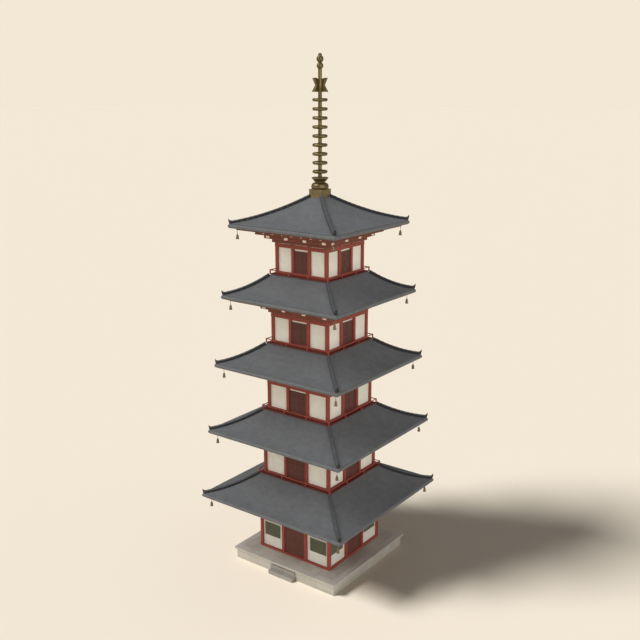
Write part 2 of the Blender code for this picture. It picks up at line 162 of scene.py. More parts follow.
COURSE = 0.25
RIDGE_TILE = 0.34
RIDGE_CAP_TILE = 0.30
TILE_LIFT = 0.007
EAVE_TILE_LIFT = 0.006
NOSE = (EAVE_TOP - EAVE_BOTTOM) / 2
JEWEL_TIP = ((0.112, 31.565), (0.106, 31.62), (0.099, 31.665), (0.075, 31.688), (0.035, 31.70))

# How far each bracket tier stands out from the column line, and the height of its foot
BRACKET_TIERS = ((0.226, COLUMN_TOP), (0.562, 3.805), (0.94, 4.05))


def column_line(storey):
    return COLUMN_LINE - COLUMN_LINE_STEP * (storey - 1)


def inner_line(storey):
    return column_line(storey) / 3


def rail_line(storey):
    return RAIL_LINE - RAIL_LINE_STEP * (storey - 2)


def eave_half(storey):
    return EAVE_HALF - EAVE_HALF_STEP * (storey - 1)


def bell_line(storey):
    return BELL_LINE - BELL_LINE_STEP * (storey - 1)


def storey_lift(storey):
    return PITCH * (storey - 1)


def roof_height(storey, half):
    run = eave_half(storey) - half
    slope, curve = ROOF_RISE[storey - 1]
    return EAVE_TOP + slope * run + curve * run * run


def roof_crest(storey):
    """Where the tiles stop, under the balcony above or at the spire's foot."""
    if storey == STOREYS:
        return roof_height(storey, BASE_HALF + 0.02)
    return FLOOR + PITCH - DECK_THICK - GAP


def roof_half(storey, height):
    """The half width at which the roof has this height."""
    slope, curve = ROOF_RISE[storey - 1]
    run = (math.sqrt(slope * slope + 4 * curve * (height - EAVE_TOP)) - slope) / (2 * curve)
    return eave_half(storey) - run


class Look:
    """A procedural material in real-scale coordinates that stay with the piece."""

    def __init__(self, name, metallic=0.0, specular=0.3):
        self.material = bpy.data.materials.new(name)
        self.material.use_nodes = True
        self.tree = self.material.node_tree
        self.shader = self.tree.nodes["Principled BSDF"]
        self.shader.inputs["Metallic"].default_value = metallic
        self.shader.inputs["Specular IOR Level"].default_value = specular
        self.place = self.add("ShaderNodeTexCoord").outputs["Object"]

    def add(self, kind, inputs=None, **settings):
        node = self.tree.nodes.new(kind)
        for name, value in settings.items():
            setattr(node, name, value)
        for name, value in (inputs or {}).items():
            if isinstance(value, bpy.types.NodeSocket):
                self.tree.links.new(value, node.inputs[name])
            else:
                node.inputs[name].default_value = value
        return node

    def math(self, operation, first, second):
        return self.add("ShaderNodeMath", {0: first, 1: second}, operation=operation).outputs[0]

    def scaled(self, scale, place=None):
        """Coordinates stretched along each axis."""
        inputs = {"Vector": place or self.place, "Scale": scale}
        return self.add("ShaderNodeMapping", inputs).outputs[0]

    def ringed(self, scale):
        """The same, with x running along each side of a square ring about the tower."""
        parts = self.add("ShaderNodeSeparateXYZ", {0: self.place})
        far_x = self.math("ABSOLUTE", parts.outputs[0], 0.0)
        far_y = self.math("ABSOLUTE", parts.outputs[1], 0.0)
        on_x = self.math("GREATER_THAN", far_x, far_y)
        run = self.blend(on_x, parts.outputs[0], parts.outputs[1])
        other = self.blend(on_x, parts.outputs[1], parts.outputs[0])
        joined = self.add("ShaderNodeCombineXYZ", {0: run, 1: other, 2: parts.outputs[2]})
        return self.scaled(scale, joined.outputs[0])

    def blend(self, factor, first, second):
        """A number between two, by a factor."""
        return self.add("ShaderNodeMix", {0: factor, 2: first, 3: second}).outputs[0]

    def noise(self, scale, detail, vector=None, rough=0.55, distortion=0.0):
        inputs = {
            "Vector": vector or self.place, "Scale": scale, "Detail": detail,
            "Roughness": rough, "Distortion": distortion,
        }
        return self.add("ShaderNodeTexNoise", inputs).outputs[0]

    def between(self, value, low, high, to_low=0.0, to_high=1.0):
        inputs = {0: value, 1: low, 2: high, 3: to_low, 4: to_high}
        return self.add("ShaderNodeMapRange", inputs).outputs[0]

    def tone(self, factor, first, second, most=1.0):
        """A colour between two, by a factor scaled down to reach this much at most."""
        if most < 1.0:
            factor = self.math("MULTIPLY", factor, most)
        first, second = [
            value if isinstance(value, bpy.types.NodeSocket) else (*value, 1.0) for value in (first, second)
        ]
        inputs = {0: factor, 6: first, 7: second}
        return self.add("ShaderNodeMix", inputs, data_type="RGBA").outputs[2]

    def own_shades(self, colour, spread):
        """A shade of its own for each separate tile, stone or board."""
        own = self.add("ShaderNodeNewGeometry").outputs["Random Per Island"]
        return self.tone(own, shade(colour, 1 - spread), shade(colour, 1 + spread))

    def finish(self, colour, roughness, height, distance, strength):
        links = self.tree.links
        links.new(colour, self.shader.inputs["Base Color"])
        links.new(roughness, self.shader.inputs["Roughness"])
        inputs = {"Height": height, "Distance": distance, "Strength": strength}
        links.new(self.add("ShaderNodeBump", inputs).outputs[0], self.shader.inputs["Normal"])
        return self.material


def shade(colour, by):
    """A colour made darker or paler by one factor."""
    return tuple(c * by for c in colour)


def tile_look(name, colour, spread):
    """Smoked clay tile: each tile its own shade, with weathered patches and a fine skin."""
    made = Look(name, specular=0.25)
    own = made.own_shades(colour, spread)
    patches = made.between(made.noise(0.7, 5.0), 0.38, 0.70)
    aged = made.tone(patches, own, shade(colour, 0.72), 0.22)
    skin = made.noise(38.0, 6.0)
    worn = made.between(skin, 0.58, 0.80)
    pale = tuple(c * 1.5 + 0.004 for c in colour)
    colours = made.tone(worn, aged, pale, 0.30)
    return made.finish(colours, made.between(skin, 0.3, 0.7, 0.62, 0.80), skin, 0.0022, 0.7)


def stone_look(name, colour, spread=0.06):
    """Dressed granite: each block its own shade, with dark and pale grains and soft stains."""
    made = Look(name, specular=0.25)
    own = made.own_shades(colour, spread)
    stain = made.between(made.noise(1.3, 6.0), 0.48, 0.72)
    stained = made.tone(stain, own, shade(colour, 0.70), 0.30)
    grain = made.noise(120.0, 3.0, rough=0.7)
    flecks = made.between(grain, 0.60, 0.68)
    flecked = made.tone(flecks, stained, shade(colour, 0.45), 0.35)
    glint = made.between(grain, 0.40, 0.30)
    colours = made.tone(glint, flecked, shade(colour, 1.30), 0.30)
    dressed = made.math("ADD", made.noise(45.0, 8.0, rough=0.65), made.math("MULTIPLY", grain, 0.3))
    return made.finish(colours, made.between(grain, 0.3, 0.7, 0.78, 0.92), dressed, 0.003, 0.8)


def plaster_look(name, colour):
    """Lime plaster with faint trowel marks and a little rain staining."""
    made = Look(name, specular=0.2)
    cloud = made.between(made.noise(2.2, 5.0), 0.35, 0.70)
    base = made.tone(cloud, shade(colour, 0.94), shade(colour, 1.03))
    streaks = made.between(made.noise(1.0, 4.0, made.scaled((9.0, 9.0, 0.8))), 0.55, 0.75)
    colours = made.tone(streaks, base, shade(colour, 0.72), 0.22)
    marks = made.noise(7.0, 6.0, made.scaled((1.0, 1.0, 2.6)), distortion=1.2)
    fine = made.math("ADD", marks, made.math("MULTIPLY", made.noise(160.0, 3.0), 0.35))
    return made.finish(colours, made.between(cloud, 0.0, 1.0, 0.82, 0.93), fine, 0.0018, 0.8)


def timber_look(name, colour, upright, gloss=0.5, spread=0.05):
    """Painted timber: brushed paint over the grain, thin in places, with fine checks."""
    made = Look(name, specular=0.25)
    grain_place = made.scaled((9.0, 9.0, 0.55)) if upright else made.ringed((0.55, 9.0, 9.0))
    grain = made.noise(3.0, 7.0, grain_place, rough=0.6, distortion=0.3)
    own = made.own_shades(colour, spread)
    brushed = made.tone(made.between(grain, 0.30, 0.72), shade(colour, 0.86), own)
    faded = made.between(made.noise(1.7, 5.0), 0.52, 0.75)
    pale = tuple(c * 1.12 + 0.012 for c in colour)
    tired = made.tone(faded, brushed, pale, 0.45)
    checks = made.between(made.noise(9.0, 5.0, grain_place, rough=0.7), 0.66, 0.74)
    colours = made.tone(checks, tired, shade(colour, 0.45), 0.45)
    height = made.math("SUBTRACT", grain, made.math("MULTIPLY", checks, 0.6))
    roughness = made.between(grain, 0.2, 0.8, gloss, gloss + 0.16)
    return made.finish(colours, roughness, height, 0.0012, 0.8)


def bronze_look(name, colour, patina, amount, metallic=0.85):
    """Cast bronze: rubbed metal under a brown and green skin."""
    made = Look(name, metallic=metallic, specular=0.5)
    skin = made.noise(2.6, 8.0, rough=0.65)
    film = made.between(skin, 0.40, 0.66)
    browned = made.tone(film, colour, shade(colour, 0.66))
    green = made.between(made.noise(11.0, 6.0), 0.50, 0.72)
    colours = made.tone(green, browned, patina, amount)
    pits = made.noise(70.0, 5.0)
    return made.finish(colours, made.between(skin, 0.3, 0.7, 0.26, 0.44), pits, 0.0012, 0.5)


# Colours, as a node takes them
STONE = (0.58, 0.55, 0.49)
# The steps' granite: the podium stone made darker by about 0.7, painted shade
SHADED_STEP_STONE = (0.41, 0.385, 0.34)
PAVING = (0.54, 0.51, 0.44)
RED = (0.325, 0.068, 0.049)
DARK_RED = (0.235, 0.080, 0.055)
# The balcony deck: the red timber made darker to about half, painted shade under the eaves
SHADED_DECK = (0.17, 0.046, 0.034)
EAVE_WOOD = (0.17, 0.066, 0.046)
DOOR = (0.140, 0.054, 0.041)
BARS = (0.160, 0.168, 0.110)
PLASTER = (0.88, 0.865, 0.77)
TILE = (0.136, 0.142, 0.148)
RIDGE_CAP = (0.086, 0.090, 0.096)
# The layered ridge and end tiles: about a third as bright as the cap tiles, painted shade on the ridge's
# sides
SHADED_RIDGE = (0.030, 0.031, 0.033)
BRONZE = (0.185, 0.140, 0.062)
PATINA = (0.08, 0.08, 0.045)

# The backdrop's colour at the horizon and overhead, and what the whole sky gives the floor
AIR = (0.896, 0.806, 0.672)
ZENITH = (0.085, 0.085, 0.083)
SKY_SHARE = 0.105
# Each lamp: name, bearing, height, light on level ground, spread, what it lights
SUNS = (
    ("floor_key", 225.0, 46.5, 0.80, 21.0, "floor"),
    ("floor_back", 56.0, 50.0, 0.060, 80.0, "floor"),
    ("key_light", 225.0, 46.5, 0.40, 50.0, "model"),
    ("top_fill", 0.0, 86.0, 0.31, 120.0, "model"),
    ("side_fill", 335.0, 15.0, 0.094, 60.0, "tower"),
    ("front_fill", 250.0, 15.0, 0.010, 60.0, "tower"),
    ("podium_fill", 0.0, 5.0, 0.014, 40.0, "podium"),
)
FLOOR_REACH = 1500

# The camera that was fitted to the photograph
CAMERA_PLACE = (31.031, -41.932, 29.578)
CAMERA_AIM = (0, 0, 15.8675)
LENS = 48.97
SENSOR = 36.0

stone = stone_look("podium_granite", STONE)
paving = stone_look("paving_granite", PAVING, 0.08)
shaded_step_stone = stone_look("step_granite_painted_shade", SHADED_STEP_STONE)
red_beam = timber_look("vermilion_beams", RED, False)
red_post = timber_look("vermilion_posts", RED, True)
dark_beam = timber_look("bracket_timber", DARK_RED, False, 0.6, 0.08)
eave_wood = timber_look("eave_timber", EAVE_WOOD, False, 0.6, 0.08)
door_wood = timber_look("door_boards", DOOR, True, 0.55, 0.07)
bars = timber_look("window_bars_green", BARS, True, 0.6, 0.12)
shaded_deck_wood = timber_look("balcony_boards_painted_shade", SHADED_DECK, False, 0.65, 0.08)
lime = plaster_look("lime_plaster", PLASTER)
# The ground storey's plaster: the same lime plaster made darker by 0.84, painted shade
shaded_ground_lime = plaster_look("ground_lime_plaster_painted_shade", shade(PLASTER, 0.84))
white_ends = plaster_look("white_end_paint", (0.88, 0.80, 0.69))
tiles = tile_look("roof_clay_tile", TILE, 0.07)
shaded_ridge_tiles = tile_look("ridge_clay_tile_painted_shade", SHADED_RIDGE, 0.10)
ridge_caps = tile_look("ridge_cap_tile", RIDGE_CAP, 0.07)
bronze = bronze_look("spire_bronze", BRONZE, PATINA, 0.25)
base_bronze = bronze_look("spire_base_bronze", (0.205, 0.155, 0.07), PATINA, 0.40, 0.6)
bell_bronze = bronze_look("wind_bell_bronze", (0.20, 0.158, 0.092), (0.09, 0.088, 0.058), 0.30, 0.7)
iron = bronze_look("door_fittings", (0.12, 0.10, 0.07), (0.05, 0.045, 0.035), 0.4, 0.7)


class Shape:
    """Points and faces gathered for one piece; each face has the number of its look."""

    def __init__(self, lift=0.0):
        self.lift = Vector((0, 0, lift))
        self.points = []
        self.faces = []
        self.looks = []

    def add(self, points, faces, look=0):
        first = len(self.points)
        self.points += [Vector(point) + self.lift for point in points]
        self.faces += [[first + i for i in face] for face in faces]
        self.looks += [look] * len(faces)

    def on_sides(self, add, quarters=range(4)):
        """The same shape on several sides of the tower, each a quarter turn from the last."""
        for quarter in quarters:
            first = len(self.points)
            add()
            turn = Matrix.Rotation(math.pi / 2 * quarter, 3, "Z")
            for i in range(first, len(self.points)):
                self.points[i] = turn @ self.points[i]

    def block(self, low, high, chamfer=0.0, look=0):
        """A box, with its edges planed off where a chamfer is given."""
        corners = list(product((-1, 1), repeat=3))
        copies = 3 if chamfer else 1
        points = []
        for corner in corners:
            for axis in range(copies):
                points.append([
                    (a + b) / 2 + s * ((b - a) / 2 - (0.0 if i == axis else chamfer))
                    for i, (a, b, s) in enumerate(zip(low, high, corner))
                ])

        def spot(axis, side, u, v, copy):
            """The number of one copy of a corner's point; u and v are its sides on the other axes."""
            corner = [u, v]
            corner.insert(axis, side)
            return corners.index(tuple(corner)) * copies + copy % copies

        faces = []
        for axis, side in product(range(3), (-1, 1)):
            ring = ((-1, -1), (1, -1), (1, 1), (-1, 1))
            faces.append([spot(axis, side, u, v, axis) for u, v in ring])
        if chamfer:
            for axis in range(3):
                first, second = [i for i in range(3) if i != axis]
                ends = ((-1, first), (1, first), (1, second), (-1, second))
                for u, v in product((-1, 1), repeat=2):
                    faces.append([spot(axis, side, u, v, copy) for side, copy in ends])
            faces += [[i, i + 1, i + 2] for i in range(0, len(points), 3)]
        self.add(points, faces, look)

    def turned(self, outline, sides, centre=(0.0, 0.0), look=0, closed=False, first=0.0):
        """A (radius, height) outline carried round an upright axis."""
        points = []
        for i in range(sides):
            angle = first + 2 * math.pi * i / sides
            c, s = math.cos(angle), math.sin(angle)
            points += [(centre[0] + radius * c, centre[1] + radius * s, z) for radius, z in outline]
        n = len(outline)
        faces = []
        for i in range(sides):
            j = (i + 1) % sides
            for k in range(n if closed else n - 1):
                m = (k + 1) % n
                faces.append([i * n + k, j * n + k, j * n + m, i * n + m])
        if not closed:
            faces.append([i * n for i in range(sides)])
            faces.append([i * n + n - 1 for i in range(sides)])
        self.add(points, faces, look)

    def square_ring(self, outline, look=0):
        """A closed (half width, height) outline carried round the four sides."""
        corners = [(half * math.sqrt(2), z) for half, z in outline]
        self.turned(corners, 4, look=look, closed=True, first=math.pi / 4)

    def beam_ring(self, line, half, low, high, chamfer=0.012, look=0):
        """Four mitred beams with planed edges, centred on a line."""
        c = chamfer
        self.square_ring((
            (line - half + c, low), (line + half - c, low), (line + half, low + c),
            (line + half, high - c), (line + half - c, high), (line - half + c, high),
            (line - half, high - c), (line - half, low + c),
        ), look)

    def prism(self, outline, depth):
        """A flat outline carried along one vector."""
        n = len(outline)
        near = [Vector(point) for point in outline]
        far = [point + Vector(depth) for point in near]
        faces = [list(range(n)), list(range(2 * n - 1, n - 1, -1))]
        faces += [[i, (i + 1) % n, n + (i + 1) % n, n + i] for i in range(n)]
        self.add(near + far, faces)

    def loft(self, loops, look=0):
        """Closed loops of equal length joined in turn, with both ends filled."""
        n = len(loops[0])
        faces = []
        for j in range(len(loops) - 1):
            for i in range(n):
                k = (i + 1) % n
                faces.append([j * n + i, j * n + k, (j + 1) * n + k, (j + 1) * n + i])
        faces.append(list(range(n)))
        faces.append(list(range(len(loops) * n - n, len(loops) * n)))
        self.add([point for loop in loops for point in loop], faces, look)


def new_object(name, data):
    """A mesh, a lamp or the camera, put into the scene."""
    obj = bpy.data.objects.new(name, data)
    bpy.context.scene.collection.objects.link(obj)
    return obj


def piece(name, shape, materials, body="tower", replaces=(), smooth=None):
    """Makes the mesh, with its looks, its body and the CAD nodes that it replaces."""
    mesh = bpy.data.meshes.new(name)
    mesh.from_pydata(shape.points, [], shape.faces)
    for material in materials:
        mesh.materials.append(material)
    mesh.polygons.foreach_set("material_index", shape.looks)
    bm = bmesh.new()
    bm.from_mesh(mesh)
    bmesh.ops.recalc_face_normals(bm, faces=bm.faces)
    bm.to_mesh(mesh)
    bm.free()
    if smooth:
        mesh.shade_smooth()
        mesh.set_sharp_from_angle(angle=math.radians(smooth))
    obj = new_object(name, mesh)
    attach(obj, body)
    if replaces:
        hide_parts(*replaces)


def dress(node, material):
    """A CAD node that stays, with a better material in its slots."""
    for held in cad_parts[node].material_slots:
        held.material = material


def arc(centre, radii, start, stop, steps):
    """Points on an ellipse, from one angle in degrees to another."""
    made = []
    for i in range(steps + 1):
        angle = math.radians(start + (stop - start) * i / steps)
        made.append((centre[0] + radii[0] * math.cos(angle), centre[1] + radii[1] * math.sin(angle)))
    return made


def shares(low, high, size, jitter=0.0, rng=None):
    """Cuts a length into nearly equal shares."""
    count = max(1, round((high - low) / size))
    marks = [low + (high - low) * i / count for i in range(count + 1)]
    if jitter:
        for i in range(1, count):
            marks[i] += rng.uniform(-jitter, jitter)
    return pairwise(marks)


def podium():
    """Two courses of stone round a core, under paving with edge stones."""
    rng = random.Random(11)
    joint = STONE_JOINT / 2
    half = PODIUM_HALF
    base = Shape()
    base.block((-half + 0.06, -half + 0.06, 0.0), (half - 0.06, half - 0.06, PODIUM_HEIGHT - 0.004))

    def side():
        for a, b in shares(-half, half - STONE_DEPTH, FOOT_BLOCK, 0.06, rng):
            base.block((a + joint, -half, 0.0), (b - joint, -half + STONE_DEPTH, FOOT_COURSE), 0.008)
        for a, b in shares(-half, half - STONE_DEPTH, UPPER_BLOCK, 0.05, rng):
            low = (a + joint, -half + 0.006, FOOT_COURSE + STONE_JOINT)
            base.block(low, (b - joint, -half + STONE_DEPTH, PODIUM_HEIGHT - GAP), 0.007)

    base.on_sides(side)
    piece("podium_base_blocks", base, [stone], replaces=["podium_base"])
    cap = Shape()
    wide, low = CAP_HALF, PODIUM_HEIGHT
    cap.block((-wide + 0.03, -wide + 0.03, low), (wide - 0.03, wide - 0.03, CAP_TOP - 0.012), 0.0, 1)

    def edge_stones():
        for a, b in shares(-wide, wide - CAP_EDGE, EDGE_STONE, 0.05, rng):
            cap.block((a + joint, -wide, low), (b - joint, -wide + CAP_EDGE - joint, CAP_TOP), 0.010)

    cap.on_sides(edge_stones)
    inside = wide - CAP_EDGE
    for a, b in shares(-inside, inside, PAVING_STONE):
        for c, d in shares(-inside, inside, PAVING_STONE):
            drop = rng.uniform(0.0, 0.0015)
            cap.block((a + joint, c + joint, low + 0.02), (b - joint, d - joint, CAP_TOP - drop), 0.005, 1)
    piece("podium_paving_stones", cap, [stone, paving], replaces=["podium_paving"])


def steps():
    """Two stones to a step, in the darker copy of the granite that is painted shade."""
    made = Shape()
    for i, depth in enumerate(STEP_DEPTHS):
        for a, b in shares(-STEPS_HALF, STEPS_HALF, STEPS_HALF):
            low = (a + 0.002, -PODIUM_HALF - depth, STEP_RISE * i)
            made.block(low, (b - 0.002, -PODIUM_HALF - GAP, STEP_RISE * (i + 1)), 0.012)
    piece("front_steps_stones", made, [shaded_step_stone], replaces=["front_steps"])


def add_frame(made, storey, foot):
    """The head beams, a pale strip of plaster above them, and square columns with planed corners."""
    line, inner = column_line(storey), inner_line(storey)
    made.beam_ring(line, HEAD_HALF, HEAD_BOTTOM, HEAD_TOP, 0.014)
    made.beam_ring(line, HEAD_HALF - 0.045, HEAD_TOP, COLUMN_TOP - 0.002, 0.002, 2)
    w = COLUMN_HALF
    for x, y in product((-line, -inner, inner, line), repeat=2):
        if line in (abs(x), abs(y)):
            made.block((x - w, y - w, foot), (x + w, y + w, COLUMN_TOP - 0.001), 0.010, 1)


def frame_piece(name, made):
    looks = [red_beam, red_post, lime]
    piece(name + "columns_and_beams", made, looks, replaces=[name + "frame"], smooth=30)


def add_door_leaf(made, low_x, high_x, line, half, low, high, pull_side):
    """A leaf: stiles and studded rails round upright boards, and a pull on one stile (-1 or 1)."""
    front, back = -line - half, -line + half
    thick = back - front
    left, right = low_x + STILE, high_x - STILE
    made.block((low_x, front, low), (left, back, high), 0.004)
    made.block((right, front, low), (high_x, back, high), 0.004)
    for share in (0.0, 0.36, 0.68, 1.0):
        z = low + (high - low) * share
        foot = min(max(z - DOOR_RAIL / 2, low), high - DOOR_RAIL)
        made.block((left, front + 0.002, foot), (right, back - 0.002, foot + DOOR_RAIL), 0.004)
        for k in range(STUDS):
            x = left + (high_x - low_x - 2 * STILE) * (k + 0.5) / STUDS
            for face, out in ((front, -1), (back, 1)):
                add_stud(made, x, face - out * 0.002, foot + DOOR_RAIL / 2, out)
    for a, b in shares(left, right, DOOR_BOARD):
        board = (a + 0.0015, front + 0.3 * thick, low + 0.05)
        made.block(board, (b - 0.0015, back - 0.3 * thick, high - 0.05), 0.004)
    x = high_x - STILE / 2 if pull_side > 0 else low_x + STILE / 2
    add_pull(made, x, front, (low + high) / 2 - 0.12)


def add_rounds(made, x, y, z, out, rings, sides):
    """A round fitting on an upright face; each ring is a radius and how far it stands out."""
    step = 2 * math.pi / sides
    made.loft([
        [(x + r * math.cos(step * i), y + out * d, z + r * math.sin(step * i)) for i in range(sides)]
        for r, d in rings
    ], 1)


def add_stud(made, x, y, z, out):
    """A low domed nail head."""
    rings = ((STUD_RADIUS, 0.0), (STUD_RADIUS * 0.92, 0.0035), (STUD_RADIUS * 0.55, 0.0058))
    add_rounds(made, x, y, z, out, rings, 8)


def add_pull(made, x, y, z):
    """A round back plate with a ring hanging on it, on a leaf's outer face."""
    add_rounds(made, x, y, z, -1, ((0.036, 0.0), (0.034, 0.004), (0.014, 0.007), (0.012, 0.014)), 16)
    points, faces = [], []
    for i in range(20):
        angle = 2 * math.pi * i / 20
        for k in range(6):
            turn = 2 * math.pi * k / 6
            r = 0.030 + 0.004 * math.cos(turn)
            points.append((
                x + r * math.cos(angle), y - (0.0105 + 0.004 * math.sin(turn)),
                z - 0.030 + r * math.sin(angle),
            ))
            j, m = (i + 1) % 20, (k + 1) % 6
            faces.append([i * 6 + k, j * 6 + k, j * 6 + m, i * 6 + m])
    made.add(points, faces, 1)


def fixed_doors(name, storey, foot, quarters=range(4)):
    """Pairs of leaves that don't open."""
    made = Shape(storey_lift(storey))
    line = column_line(storey)
    edge = inner_line(storey) - COLUMN_HALF
    half = FIXED_DOOR_THICK / 2

    def pair():
        for low_x, high_x, pull_side in ((-edge, -0.003, 1), (0.003, edge, -1)):
            add_door_leaf(made, low_x, high_x, line, half, foot, DOOR_HEAD, pull_side)

    made.on_sides(pair, quarters)
    piece(name + "fixed_doors", made, [door_wood, iron])


def ground_storey():
    line, inner = column_line(1), inner_line(1)
    half = LINTEL_THICK / 2
    made = Shape()
    add_frame(made, 1, GROUND_SILL_TOP + GAP)
    lintel = (-inner, -line - half, DOOR_HEAD), (inner, -line + half, HEAD_BOTTOM), 0.006
    made.on_sides(lambda: made.block(*lintel))
    frame_piece("ground_", made)
    fixed_doors("ground_", 1, GROUND_SILL_TOP + 0.01, (2, 3))
    dress("ground_sill", red_beam)
    # The ground walls take the darker copy of the plaster, painted shade
    for corner in ("front_right", "back_right", "back_left", "front_left"):
        dress("ground_wall_" + corner, shaded_ground_lime)


def windows():
    """Upright bars in the eight ground windows, in a frame whose limewashed head rail takes the plaster's
    darker copy, painted shade.
    """
    made = Shape()
    outer = -column_line(1)
    front, back = outer - 0.012, outer + 0.05
    low, high = WINDOW_BOTTOM + GAP, WINDOW_TOP - GAP
    foot, head = low + 0.035, high - 0.03

    def pair():
        for a, b in ((-WINDOW_TO, -WINDOW_FROM), (WINDOW_FROM, WINDOW_TO)):
            a, b = a + GAP, b - GAP
            made.block((a, front, low), (b, back, foot), 0.004)
            made.block((a, front, head), (b, back, high), 0.004, 1)
            for c, d in ((a, a + 0.03), (b - 0.03, b)):
                made.block((c, front, foot), (d, back, head), 0.004)
            for c, d in shares(a + 0.03, b - 0.03, BAR_PITCH):
                middle = (c + d) / 2
                bar = (middle - BAR_HALF, outer - 0.008, low + 0.03)
                made.block(bar, (middle + BAR_HALF, outer + 0.034, head), 0.006)

    made.on_sides(pair)
    piece("ground_window_bars", made, [bars, shaded_ground_lime])


def opening_doors():
    """The four leaves that open, each on its own body, and their pins."""
    line = column_line(1)
    jamb = inner_line(1) - COLUMN_HALF
    half = LEAF_THICK / 2
    low, high = GROUND_SILL_TOP + LEAF_CLEAR, DOOR_HEAD - LEAF_CLEAR
    pins = ((GROUND_SILL_TOP + GAP, low + 0.001), (high - 0.001, DOOR_HEAD - GAP))
    for name, hand, quarter in (
        ("front_door_left", -1, 0), ("front_door_right", 1, 0),
        ("right_door_front", -1, 1), ("right_door_back", 1, 1),
    ):
        made = Shape()
        near, far = sorted((hand * 0.004, hand * (jamb - JAMB_CLEAR)))

        def leaf():
            add_door_leaf(made, near, far, line, half, low, high, -hand)
            for foot, head in pins:
                outline = [(PIVOT_RADIUS, foot), (PIVOT_RADIUS, head)]
                made.turned(outline, 12, (hand * (jamb - PIVOT_INSET), -line), 1)

        made.on_sides(leaf, (quarter,))
        piece(name + "_boards", made, [door_wood, iron], body=name, replaces=[name])


def upper_storey(storey):
    made = Shape(storey_lift(storey))
    add_frame(made, storey, FLOOR + GAP)
    made.beam_ring(column_line(storey), HEAD_HALF, FLOOR + GAP, FLOOR + SILL_HEIGHT)
    name = "storey_%d_" % storey
    frame_piece(name, made)
    fixed_doors(name, storey, FLOOR + 0.10)
    dress(name + "walls", lime)
    balcony(name, storey)


def balcony(name, storey):
    """Deck boards on an edge beam, coloured dark as painted shade, and a low rail with a bar along its top.
    """
    rng = random.Random(20 + storey)
    line = rail_line(storey)
    half = line + DECK_EDGE
    wall = column_line(storey) + HEAD_HALF
    made = Shape(storey_lift(storey))
    low, bed = FLOOR - DECK_THICK, FLOOR - DECK_BOARD_THICK
    made.block((-half + 0.01, -half + 0.01, low), (half - 0.01, half - 0.01, bed))
    made.beam_ring(half - EDGE_BEAM_HALF, EDGE_BEAM_HALF, low, FLOOR - 0.001, 0.005)

    def boards():
        inside = half - 0.056
        a = -inside
        while a < inside - 0.01:
            b = min(a + DECK_BOARD + rng.uniform(-0.01, 0.01), inside)
            made.block((a + 0.002, -inside, bed), (b - 0.002, -(wall - 0.2), FLOOR), 0.003)
            a = b

    made.on_sides(boards, (0, 2))
    top = FLOOR + RAIL_HEIGHT
    made.beam_ring(line, RAIL_THICK / 2, top - RAIL_THICK, top, 0.010, 1)

    def posts():
        for x, w, over, planed in (
            (-line / 3, BALUSTER_HALF, 0.008, 0.006), (line / 3, BALUSTER_HALF, 0.008, 0.006),
            (-line, CORNER_POST_HALF, 0.009, 0.008),
        ):
            made.block((x - w, -line - w, low), (x + w, -line + w, top + over), planed, 2)

    made.on_sides(posts)
    looks = [shaded_deck_wood, red_beam, red_post]
    piece(name + "deck_and_rail", made, looks, replaces=[name + "balcony"])


def bracket_work(storey):
    """Arms and bearing blocks on the bracket tiers, and the white ends of beams and rafters."""
    line = column_line(storey)
    made = Shape(storey_lift(storey))

    def arm(x, face, low, out):
        """A short bracket arm with its lower ends cut to a curve."""
        high, half = low + ARM_HEIGHT, low + ARM_HEIGHT / 2
        left, right = x - ARM_HALF, x + ARM_HALF
        curve = [(t, low + ARM_HEIGHT / 2 * (1 - t) ** 1.6) for t in (0.25, 0.6, 1.0)]
        outline = [(left, high), (left, half)]
        outline += [(left + 0.02 + 0.13 * t, z) for t, z in curve]
        outline += [(right - 0.02 - 0.13 * t, z) for t, z in reversed(curve)]
        outline += [(right, half), (right, high)]
        made.prism([(px, face + 0.01, pz) for px, pz in outline], (0, -out - 0.01, 0))

    def bearing(x, face, low, out):
        """A bearing block, narrower at its foot."""
        loops = []
        for share, rise, reach in ((0.72, 0.0, 0.6), (1.0, 0.035, 1.0), (1.0, 0.085, 1.0)):
            half, z = BEARING_HALF * share, low + rise
            loops.append([
                (x - half, face + 0.01, z), (x + half, face + 0.01, z),
                (x + half, face - out * reach, z), (x - half, face - out * reach, z),
            ])
        made.loft(loops)

    def side():
        for (reach, foot), out, count in zip(BRACKET_TIERS, (0.035, 0.032), (6, 8)):
            face = -line - reach
            span = line + reach - 0.30
            for i in range(count + 1):
                x = -span + 2 * span * i / count
                arm(x, face, foot + 0.02, out)
                for shift in (-0.17, 0.0, 0.17):
                    bearing(x + shift, face, foot + 0.135, out)
        edge = line + BRACKET_TIERS[-1][0]
        made.block((-edge - 0.012, -edge - 0.012, FILLET_LOW), (edge + 0.012, -edge, FILLET_HIGH), 0.003)
        w, front = BEAM_END_HALF + 0.001, -line - BEAM_END_OUT
        for third in (-3, -1, 1, 3):
            x = (line + BEAM_END_LINE) * third / 3
            low = (x - w, front - 0.010, BEAM_END_LOW - 0.001)
            made.block(low, (x + w, front + 0.03, BEAM_END_HIGH + 0.001), 0.010, 1)
        w = RAFTER_END_HALF
        count = int(edge / RAFTER_END_PITCH)
        for i in range(-count, count + 1):
            x = RAFTER_END_PITCH * i
            made.block((x - w, -edge - 0.040, RAFTER_END_LOW), (x + w, -edge, RAFTER_END_HIGH), 0.006, 1)

    made.on_sides(side)
    piece("roof_%d_bracket_arms" % storey, made, [dark_beam, white_ends])
    dress("roof_%d_brackets" % storey, dark_beam)


